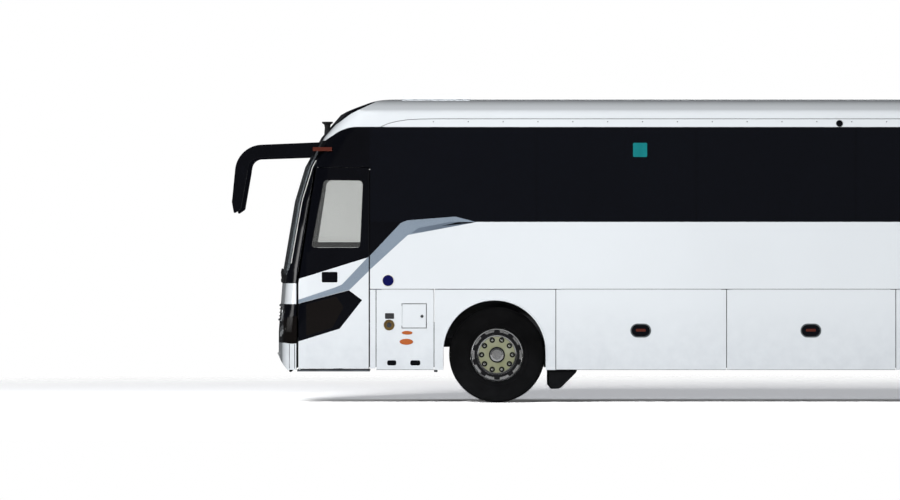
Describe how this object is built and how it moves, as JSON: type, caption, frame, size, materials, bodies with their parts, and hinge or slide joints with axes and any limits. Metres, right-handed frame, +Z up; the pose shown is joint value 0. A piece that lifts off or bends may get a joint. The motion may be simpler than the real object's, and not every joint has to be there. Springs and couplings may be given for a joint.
{
  "type": "coach bus",
  "caption": "Full-size touring coach with a dark window band, hinged cab doors, luggage flaps, steered front wheels and twin rear wheels.",
  "frame": {"origin": "on the ground at the middle of the whole coach's length and width, mirror arms included", "axes": "+X forward, +Y to the coach's left, +Z up"},
  "size_m": [12.4975, 2.547, 3.342],
  "materials": {
    "body_paint": "gloss white coach enamel",
    "black_gloss": "gloss black surround",
    "tinted_glass": "dark tinted bonded glass",
    "clear_glass": "clear cab glass",
    "lamp_glass": "lamp lenses",
    "chassis_paint": "satin black chassis paint",
    "floor_vinyl": "vinyl floor covering",
    "tyre_rubber": "black tyre",
    "wheel_chrome": "polished steel wheel",
    "guard_rubber": "moulded rubber",
    "seat_fabric": "woven seat cloth",
    "engine_iron": "cast iron",
    "cab_plastic": "grained dark plastic",
    "bright_steel": "plain steel"
  },
  "bodies": {
    "coach": {"underframe": "chassis_paint", "luggage_bay": "chassis_paint", "floor_deck": "floor_vinyl", "side_wall_left": "body_paint", "side_wall_right": "body_paint", "roof_panel": "body_paint", "roof_front_cap": "body_paint", "windscreen_frame": "black_gloss", "front_panel": "body_paint", "bumpers": "body_paint", "rear_panel": "body_paint", "body_glass": "tinted_glass", "lamps": "lamp_glass", "engine_block": "engine_iron", "axle_beams": "chassis_paint", "dashboard": "cab_plastic", "seats": "seat_fabric", "mirrors": "black_gloss", "splash_guards": "guard_rubber"},
    "driver_door": {"driver_door": "body_paint", "driver_door_glass": "clear_glass"},
    "passenger_arm": {"passenger_door_arm": "bright_steel"},
    "passenger_door": {"passenger_door": "body_paint", "passenger_door_glass": "tinted_glass"},
    "luggage_left_front": {"luggage_door_left_front": "body_paint"},
    "luggage_left_rear": {"luggage_door_left_rear": "body_paint"},
    "luggage_right_front": {"luggage_door_right_front": "body_paint"},
    "luggage_right_rear": {"luggage_door_right_rear": "body_paint"},
    "engine_door_left": {"engine_door_left": "body_paint"},
    "engine_door_right": {"engine_door_right": "body_paint"},
    "service_flap": {"service_flap": "body_paint"},
    "fuel_flap": {"fuel_flap": "body_paint"},
    "engine_hatch": {"engine_hatch": "body_paint"},
    "roof_hatch": {"roof_hatch": "cab_plastic"},
    "knuckle_left": {"steering_knuckle_left": "chassis_paint"},
    "knuckle_right": {"steering_knuckle_right": "chassis_paint"},
    "front_wheel_left": {"wheel_rim_front_left": "wheel_chrome", "tyre_front_left": "tyre_rubber"},
    "front_wheel_right": {"wheel_rim_front_right": "wheel_chrome", "tyre_front_right": "tyre_rubber"},
    "rear_wheels_left": {"wheel_rim_rear_left": "wheel_chrome", "tyre_rear_left": "tyre_rubber"},
    "rear_wheels_right": {"wheel_rim_rear_right": "wheel_chrome", "tyre_rear_right": "tyre_rubber"},
    "steering_wheel": {"steering_wheel": "cab_plastic"}
  },
  "joints": [
    {"name": "driver_door_hinge", "type": "hinge", "parent": "coach", "child": "driver_door", "pos_m": [5.508, 1.245, 0.5], "axis": [0, 0, -1], "range_deg": [0, 75]},
    {"name": "passenger_arm_swing", "type": "hinge", "parent": "coach", "child": "passenger_arm", "pos_m": [5.421, -1.145, 1.17], "axis": [0, 0, 1], "range_deg": [0, 120]},
    {"name": "passenger_door_level", "type": "hinge", "parent": "passenger_arm", "child": "passenger_door", "pos_m": [5.021, -1.145, 1.17], "axis": [0, 0, 1], "range_deg": [-120, 0]},
    {"name": "luggage_hinge_left_front", "type": "hinge", "parent": "coach", "child": "luggage_left_front", "pos_m": [1.7865, 1.26154, 1.2357], "axis": [1, 0, 0], "range_deg": [0, 90]},
    {"name": "luggage_hinge_left_rear", "type": "hinge", "parent": "coach", "child": "luggage_left_rear", "pos_m": [-0.066, 1.26154, 1.2357], "axis": [1, 0, 0], "range_deg": [0, 90]},
    {"name": "engine_door_hinge_left", "type": "hinge", "parent": "coach", "child": "engine_door_left", "pos_m": [-4.479, 1.26154, 1.2357], "axis": [1, 0, 0], "range_deg": [0, 90]},
    {"name": "luggage_hinge_right_front", "type": "hinge", "parent": "coach", "child": "luggage_right_front", "pos_m": [1.7865, -1.26154, 1.2357], "axis": [-1, 0, 0], "range_deg": [0, 90]},
    {"name": "luggage_hinge_right_rear", "type": "hinge", "parent": "coach", "child": "luggage_right_rear", "pos_m": [-0.066, -1.26154, 1.2357], "axis": [-1, 0, 0], "range_deg": [0, 90]},
    {"name": "engine_door_hinge_right", "type": "hinge", "parent": "coach", "child": "engine_door_right", "pos_m": [-4.479, -1.26154, 1.2357], "axis": [-1, 0, 0], "range_deg": [0, 90]},
    {"name": "service_flap_hinge", "type": "hinge", "parent": "coach", "child": "service_flap", "pos_m": [4.36, 1.26154, 1.2357], "axis": [1, 0, 0], "range_deg": [0, 90]},
    {"name": "fuel_flap_hinge", "type": "hinge", "parent": "service_flap", "child": "fuel_flap", "pos_m": [4.3937, 1.26697, 0.946], "axis": [0, 0, -1], "range_deg": [0, 90]},
    {"name": "engine_hatch_hinge", "type": "hinge", "parent": "coach", "child": "engine_hatch", "pos_m": [-6.239, 0, 1.8437], "axis": [0, 1, 0], "range_deg": [0, 85]},
    {"name": "roof_hatch_hinge", "type": "hinge", "parent": "coach", "child": "roof_hatch", "pos_m": [3.651, 0, 3.3246], "axis": [0, -1, 0], "range_deg": [0, 30]},
    {"name": "steer_left", "type": "hinge", "parent": "coach", "child": "knuckle_left", "pos_m": [3.358, 0.996, 0.522], "axis": [0, 0, 1], "range_deg": [-40, 40]},
    {"name": "front_wheel_spin_left", "type": "hinge", "parent": "knuckle_left", "child": "front_wheel_left", "pos_m": [3.358, 1.096, 0.522], "axis": [0, 1, 0], "continuous": true},
    {"name": "rear_wheels_spin_left", "type": "hinge", "parent": "coach", "child": "rear_wheels_left", "pos_m": [-2.742, 0.923, 0.522], "axis": [0, 1, 0], "continuous": true},
    {"name": "steer_right", "type": "hinge", "parent": "coach", "child": "knuckle_right", "pos_m": [3.358, -0.996, 0.522], "axis": [0, 0, 1], "range_deg": [-40, 40]},
    {"name": "front_wheel_spin_right", "type": "hinge", "parent": "knuckle_right", "child": "front_wheel_right", "pos_m": [3.358, -1.096, 0.522], "axis": [0, 1, 0], "continuous": true},
    {"name": "rear_wheels_spin_right", "type": "hinge", "parent": "coach", "child": "rear_wheels_right", "pos_m": [-2.742, -0.923, 0.522], "axis": [0, 1, 0], "continuous": true},
    {"name": "steering_wheel_turn", "type": "hinge", "parent": "coach", "child": "steering_wheel", "pos_m": [4.921, 0.62, 1.56], "axis": [-0.4695, 0, 0.8829], "range_deg": [-720, 720]}
  ],
  "couplings": [
    {"joint": "passenger_door_level", "follows": "passenger_arm_swing", "ratio": -1},
    {"joint": "steer_right", "follows": "steer_left", "ratio": 1},
    {"joint": "steering_wheel_turn", "follows": "steer_left", "ratio": 18}
  ]
}
